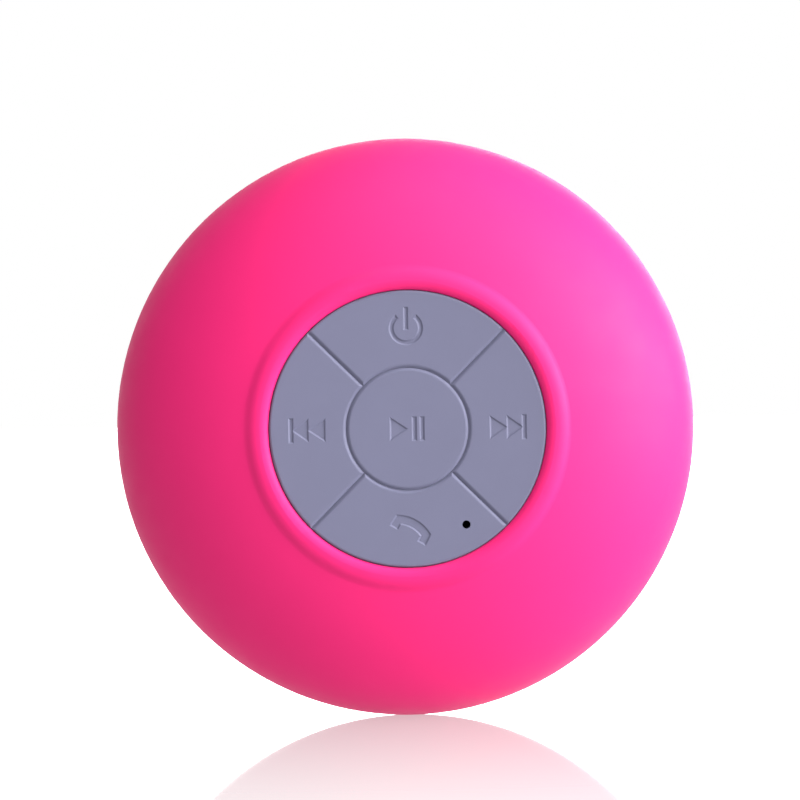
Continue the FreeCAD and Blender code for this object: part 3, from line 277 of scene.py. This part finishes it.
MATERIALS = {
    "pink_silicone": moulded(
        "pink_silicone", PINK, patch=14, mottle=0.03, rough=(0.50, 0.58), grain=0.5, depth=0.012,
        fine=(0.12, 0.004), Specular_IOR_Level=0.15, Sheen_Weight=0.05, Sheen_Roughness=0.4),
    "grey_silicone": moulded(
        "grey_silicone", GREY_RUBBER, patch=8, mottle=0.03, rough=(0.50, 0.60), grain=0.4, depth=0.008,
        fine=(0.1, 0.003), Specular_IOR_Level=0.25),
    "grey_plastic": moulded(
        "grey_plastic", GREY_PLASTIC, patch=12, mottle=0.05, rough=(0.42, 0.55), grain=0.45, depth=0.03,
        fine=(0.15, 0.01)),
    "clear_pink_rubber": moulded(
        "clear_pink_rubber", (0.90, 0.10, 0.30), patch=10, mottle=0.03, rough=(0.16, 0.26), grain=1.2,
        depth=0.01, Transmission_Weight=0.45, IOR=1.42, Specular_IOR_Level=0.5),
    "grey_rubber": moulded(
        "grey_rubber", shade(GREY_RUBBER, 0.9), patch=5, mottle=0.04, rough=(0.5, 0.62), grain=0.35,
        depth=0.012),
    "black_rubber": moulded(
        "black_rubber", (0.018, 0.018, 0.020), patch=5, mottle=0.1, rough=(0.55, 0.7), grain=0.3,
        depth=0.015),
    "black_plastic": moulded(
        "black_plastic", (0.020, 0.020, 0.022), patch=6, mottle=0.08, rough=(0.35, 0.5), grain=0.3,
        depth=0.01),
    "white_plastic": moulded(
        "white_plastic", (0.72, 0.71, 0.67), patch=4, mottle=0.04, rough=(0.35, 0.45), grain=0.3,
        depth=0.006),
    "capacitor_tan": moulded(
        "capacitor_tan", (0.04, 0.03, 0.02), patch=3, mottle=0.1, rough=(0.25, 0.35), grain=0.4,
        depth=0.006),
    "led_lens": moulded(
        "led_lens", (0.75, 0.82, 0.92), patch=1, mottle=0.02, rough=(0.08, 0.14), grain=0.4, depth=0.002),
    "ferrite": moulded(
        "ferrite", (0.045, 0.045, 0.050), patch=3, mottle=0.15, rough=(0.45, 0.65), grain=0.2, depth=0.02),
    "screw_steel": metal("screw_steel", (0.55, 0.55, 0.57), rough=(0.2, 0.38), grain=0.2, depth=0.006),
    "plated_steel": metal("plated_steel", (0.62, 0.61, 0.58), rough=(0.2, 0.33), stretch=(1, 6, 1)),
    "frame_steel": metal("frame_steel", (0.48, 0.48, 0.50), rough=(0.28, 0.42), stretch=(1, 4, 1)),
    "mic_metal": capped_metal("mic_metal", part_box("mic_capsule")[0].y + MIC_FELT),
    "battery_foil": metal("battery_foil", (0.70, 0.70, 0.72), rough=(0.25, 0.45), grain=1.5, depth=0.05),
    "mesh_black": woven("mesh_black", (0.022, 0.022, 0.024), 0.36, 0.12, painted_gap_shade=0.15, rough=0.6),
    "paper_cone": woven("paper_cone", (0.028, 0.027, 0.026), 0.3, 0.02, painted_gap_shade=0.6, rough=0.8),
    "spider_cloth": woven("spider_cloth", (0.50, 0.36, 0.15), 0.4, 0.08, painted_gap_shade=0.5, rough=0.85),
    "coil_copper": wound_copper(),
    "circuit_board": circuit_board(),
}

RED, BLACK, WHITE = (0.55, 0.012, 0.010), (0.015, 0.015, 0.015), (0.75, 0.74, 0.70)


def pair_material(node, axis, first, second):
    """A two-colour wire material, split at the middle of the node's box."""
    low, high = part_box(node)
    index = "XYZ".index(axis)
    return two_wires(node + "_skin", axis, (low[index] + high[index]) / 2, first, second)


OWN_MATERIALS = {
    "charge_wires": pair_material("charge_wires", "Z", BLACK, RED),
    "battery_wires": pair_material("battery_wires", "Z", BLACK, RED),
    "speaker_wires": pair_material("speaker_wires", "X", WHITE, BLACK),
}


def dress_cad_nodes():
    """Gives every node that came from the design its finished material."""
    slot_of = {part["node"]: part["material_slot"] for part in frame["record"]["subparts"]}
    for name, node in frame["nodes"].items():
        finish = OWN_MATERIALS.get(name) or MATERIALS[slot_of[name]]
        for held in node.material_slots:
            held.link = "OBJECT"
            held.material = finish


dress_cad_nodes()

# ---- floor, light and camera ----


def floor():
    """A broad white floor at the body's lowest height, which glows and mirrors what is near the middle."""
    mesh = bpy.data.meshes.new("floor")
    half, level = 3.0, cad_low.z
    corners = [(-half, -half, level), (half, -half, level), (half, half, level), (-half, half, level)]
    mesh.from_pydata(corners, [], [(0, 1, 2, 3)])
    board = bpy.data.objects.new("floor", mesh)
    bpy.context.scene.collection.objects.link(board)
    look = Shading("floor")
    look.colour(look.blended(look.noise(0.4), (0.09, 0.09, 0.09), (0.10, 0.10, 0.10)))
    look.fixed(Emission_Color=(1.0, 1.0, 1.0, 1.0), Roughness=0.9, Specular_IOR_Level=0.0)
    rays = look.node("ShaderNodeLightPath")
    seen_glow, bounced_glow = 0.97, 0.55
    glow = look.spread(rays.outputs["Is Diffuse Ray"], seen_glow, bounced_glow, (0, 1))
    look.link(glow, look.shader.inputs["Emission Strength"])
    squares = [look.maths("POWER", look.coordinate(axis), 2) for axis in ("X", "Y")]
    distance = look.maths("SQRT", look.maths("ADD", *squares))
    polish_near, polish_far = 0.86, 0.4
    polish = look.spread(distance, polish_near, polish_far, (45 * MM, 170 * MM))
    glancing = look.node("ShaderNodeFresnel")
    glancing.inputs["IOR"].default_value = 1.45
    mirror = look.node("ShaderNodeBsdfAnisotropic")
    mirror.inputs["Roughness"].default_value = 0.03
    both = look.node("ShaderNodeMixShader")
    look.link(look.maths("MULTIPLY", glancing.outputs[0], polish), both.inputs[0])
    look.link(look.shader.outputs[0], both.inputs[1])
    look.link(mirror.outputs[0], both.inputs[2])
    look.link(both.outputs[0], look.tree.nodes["Material Output"].inputs["Surface"])
    mesh.materials.append(look.material)


def surroundings():
    """White all round, both seen directly and in reflections, but dim as a light on matt surfaces."""
    world = bpy.data.worlds.new("studio")
    world.use_nodes = True
    bpy.context.scene.world = world
    nodes, links = world.node_tree.nodes, world.node_tree.links
    background = nodes["Background"]
    background.inputs["Color"].default_value = (1.0, 1.0, 1.0, 1.0)
    rays = nodes.new("ShaderNodeLightPath")
    strength = nodes.new("ShaderNodeMapRange")
    strength.inputs["To Min"].default_value = 1.0
    strength.inputs["To Max"].default_value = 0.05
    links.new(rays.outputs["Is Diffuse Ray"], strength.inputs["Value"])
    links.new(strength.outputs["Result"], background.inputs["Strength"])


def lamp(name, towards, strength, width):
    """A distant lamp in that direction, that many degrees wide. Strength 1 lights a white face to white."""
    light = bpy.data.lights.new(name, "SUN")
    light.energy = strength * math.pi
    light.angle = math.radians(width)
    holder = bpy.data.objects.new(name, light)
    holder.rotation_mode = "QUATERNION"
    holder.rotation_quaternion = Vector(towards).to_track_quat("Z", "Y")
    bpy.context.scene.collection.objects.link(holder)


def camera():
    """A long lens in front of the keypad, a touch left of the axis and above it, and turned a degree."""
    distance, azimuth, elevation, roll = 0.70, -0.8, 0.55, 1.0
    sensor = 36.0
    frame_width = 119.4 * MM            # at the distance of the point it aims at
    widest = Vector((0, -34.5 * MM, 0))
    aim = widest + Vector((-0.75 * MM, 0, 4.0 * MM))
    a, e = math.radians(azimuth), math.radians(elevation)
    back = Vector((math.sin(a) * math.cos(e), -math.cos(a) * math.cos(e), math.sin(e)))
    data = bpy.data.cameras.new("camera")
    data.sensor_width = sensor
    data.lens = sensor * distance / frame_width
    data.clip_start, data.clip_end = 0.01, 10.0
    made = bpy.data.objects.new("camera", data)
    made.location = aim + back * distance
    made.rotation_mode = "QUATERNION"
    level = (-back).to_track_quat("-Z", "Y")
    made.rotation_quaternion = level @ Euler((0, 0, math.radians(-roll))).to_quaternion()
    bpy.context.scene.collection.objects.link(made)
    bpy.context.scene.camera = made


floor()
surroundings()
lamp("right", (0.95, -0.14, 0.13), 1.95, 50)
lamp("upper_right", (0.84, -0.31, 0.45), 0.34, 50)
lamp("front_right", (0.74, -0.55, 0.38), 0.71, 50)
lamp("top", (0.15, -0.35, 0.92), 0.5, 50)
lamp("front", (0.2, -0.95, 0.15), 0.21, 50)
lamp("back_fill", (0.25, 0.95, 0.1), 0.7, 40)
camera()
bpy.context.scene.view_settings.view_transform = "Standard"
